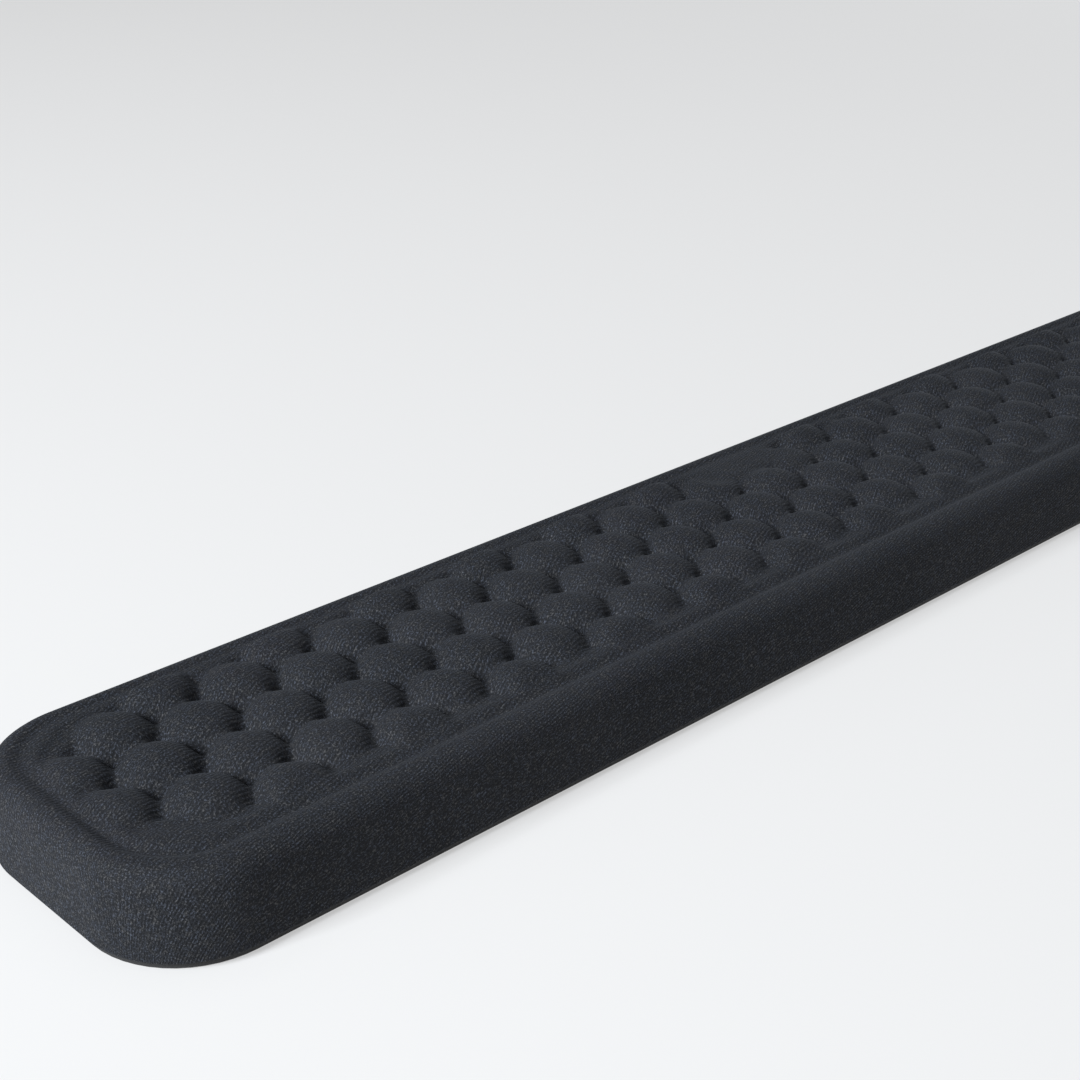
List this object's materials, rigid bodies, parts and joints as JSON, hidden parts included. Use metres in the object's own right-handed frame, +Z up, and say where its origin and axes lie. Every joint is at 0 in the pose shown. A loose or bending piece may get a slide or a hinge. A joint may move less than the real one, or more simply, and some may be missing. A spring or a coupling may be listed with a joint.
{
  "type": "wrist rest",
  "caption": "Long padded keyboard wrist rest: soft knit cover moulded over foam in staggered round pillows, with a rim groove and an anti-slip underside.",
  "frame": {"origin": "centre of the underside on the desk, at the middle of the bounding box's bottom", "axes": "+X along the length, to the user's right; +Y from the user towards the keyboard; +Z up"},
  "size_m": [0.427, 0.0706, 0.022],
  "materials": {
    "cover_knit": "fine charcoal stretch knit with diagonal wales, pale flecks and a soft sheen",
    "foam": "moulded slow-rebound polyurethane foam with a fine closed skin, matte",
    "adhesive_film": "thin milky double-sided adhesive film",
    "base_rubber": "black anti-slip rubber sheet with a fine moulded grip pattern"
  },
  "bodies": {
    "root": {"top_cover": "cover_knit", "foam_core": "foam", "base_adhesive": "adhesive_film", "base_pad": "base_rubber"}
  },
  "joints": []
}
